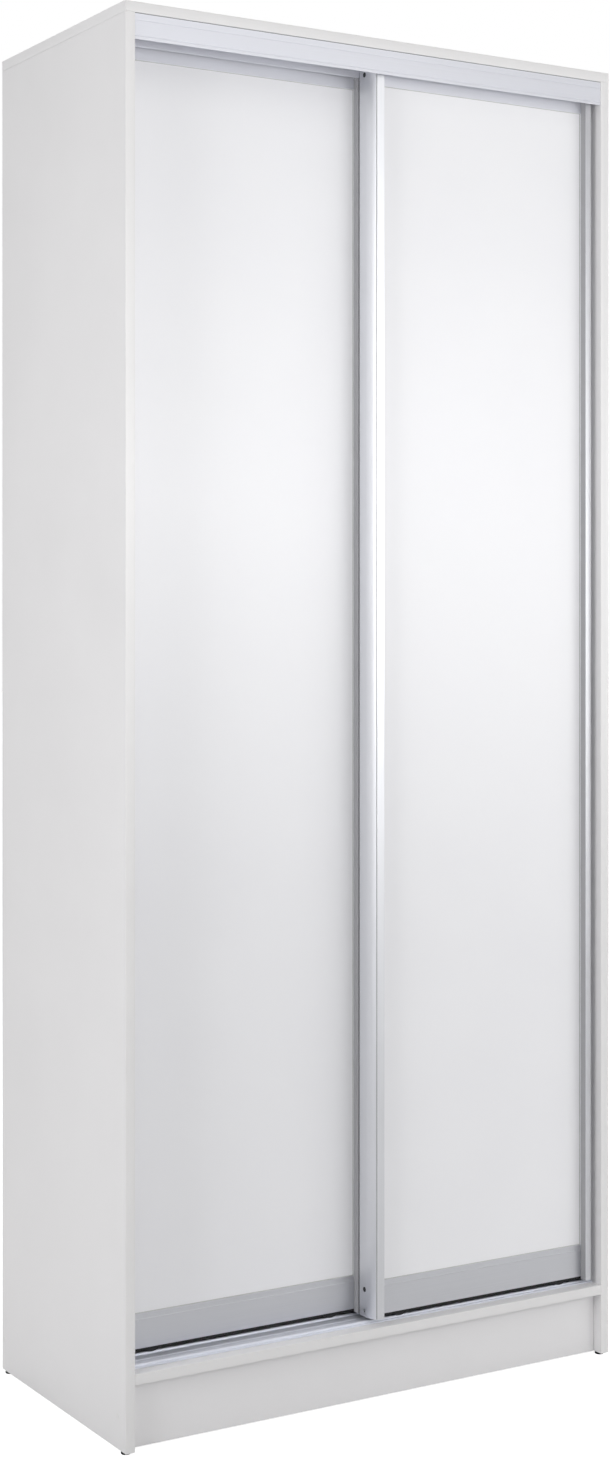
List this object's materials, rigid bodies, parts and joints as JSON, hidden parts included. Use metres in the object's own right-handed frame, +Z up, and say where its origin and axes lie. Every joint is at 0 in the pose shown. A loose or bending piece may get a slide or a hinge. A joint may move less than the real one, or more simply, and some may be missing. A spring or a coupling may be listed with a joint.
{
  "type": "sliding door wardrobe",
  "caption": "Tall freestanding wardrobe whose framed white doors slide past each other on rollers, with a hanging bay, shelves and a hat shelf.",
  "frame": {"origin": "on the floor, under the middle of the wardrobe's box", "axes": "+Z up, +X to the right seen from the front, doors face -Y"},
  "size_m": [0.92, 0.47, 2.2],
  "materials": {
    "board": "white melamine-faced chipboard, fine satin grain",
    "panel": "white melamine-faced door panel, smooth satin",
    "hardboard": "white-lacquered hardboard",
    "aluminium": "satin silver anodised extrusion",
    "chrome": "bright chrome plating",
    "zinc": "zinc-plated steel",
    "nylon": "grey nylon",
    "black": "black moulded plastic",
    "brush": "grey pile weather strip"
  },
  "bodies": {
    "carcass": {"left_side_panel": "board", "right_side_panel": "board", "top_panel": "board", "bottom_panel": "board", "front_plinth": "board", "rear_plinth": "board", "centre_partition": "board", "hat_shelf": "board", "shelf_1": "board", "shelf_2": "board", "shelf_3": "board", "back_panel_left": "hardboard", "back_panel_right": "hardboard", "top_track": "aluminium", "bottom_track": "aluminium", "hanging_rail": "chrome", "rail_holder_front": "chrome", "rail_holder_rear": "chrome", "left_front_foot": "black", "left_rear_foot": "black", "right_front_foot": "black", "right_rear_foot": "black", "shelf_1_pin_left_front": "zinc", "shelf_1_pin_left_rear": "zinc", "shelf_1_pin_right_front": "zinc", "shelf_1_pin_right_rear": "zinc", "shelf_2_pin_left_front": "zinc", "shelf_2_pin_left_rear": "zinc", "shelf_2_pin_right_front": "zinc", "shelf_2_pin_right_rear": "zinc", "shelf_3_pin_left_front": "zinc", "shelf_3_pin_left_rear": "zinc", "shelf_3_pin_right_front": "zinc", "shelf_3_pin_right_rear": "zinc"},
    "left_door": {"left_door_left_stile": "aluminium", "left_door_right_stile": "aluminium", "left_door_bottom_rail": "aluminium", "left_door_top_rail": "aluminium", "left_door_panel": "panel", "left_door_edge_seal": "brush", "left_door_left_wheel_holder": "zinc", "left_door_right_wheel_holder": "zinc", "left_door_left_top_guide": "nylon", "left_door_right_top_guide": "nylon"},
    "left_door_left_wheel": {"left_door_left_wheel": "black"},
    "left_door_right_wheel": {"left_door_right_wheel": "black"},
    "right_door": {"right_door_left_stile": "aluminium", "right_door_right_stile": "aluminium", "right_door_bottom_rail": "aluminium", "right_door_top_rail": "aluminium", "right_door_panel": "panel", "right_door_edge_seal": "brush", "right_door_left_wheel_holder": "zinc", "right_door_right_wheel_holder": "zinc", "right_door_left_top_guide": "nylon", "right_door_right_top_guide": "nylon"},
    "right_door_left_wheel": {"right_door_left_wheel": "black"},
    "right_door_right_wheel": {"right_door_right_wheel": "black"}
  },
  "joints": [
    {"name": "left_door_slide", "type": "slide", "parent": "carcass", "child": "left_door", "axis": [1, 0, 0], "range_m": [0, 0.429]},
    {"name": "left_door_left_wheel_turn", "type": "hinge", "parent": "left_door", "child": "left_door_left_wheel", "pos_m": [-0.377, -0.156, 0.1451], "axis": [0, 1, 0], "continuous": true},
    {"name": "left_door_right_wheel_turn", "type": "hinge", "parent": "left_door", "child": "left_door_right_wheel", "pos_m": [-0.052, -0.156, 0.1451], "axis": [0, 1, 0], "continuous": true},
    {"name": "right_door_slide", "type": "slide", "parent": "carcass", "child": "right_door", "axis": [1, 0, 0], "range_m": [-0.429, 0]},
    {"name": "right_door_left_wheel_turn", "type": "hinge", "parent": "right_door", "child": "right_door_left_wheel", "pos_m": [0.052, -0.203, 0.1451], "axis": [0, 1, 0], "continuous": true},
    {"name": "right_door_right_wheel_turn", "type": "hinge", "parent": "right_door", "child": "right_door_right_wheel", "pos_m": [0.377, -0.203, 0.1451], "axis": [0, 1, 0], "continuous": true}
  ],
  "couplings": [
    {"joint": "left_door_left_wheel_turn", "follows": "left_door_slide", "rad_per_m": 57.143},
    {"joint": "left_door_right_wheel_turn", "follows": "left_door_slide", "rad_per_m": 57.143},
    {"joint": "right_door_left_wheel_turn", "follows": "right_door_slide", "rad_per_m": 57.143},
    {"joint": "right_door_right_wheel_turn", "follows": "right_door_slide", "rad_per_m": 57.143}
  ]
}
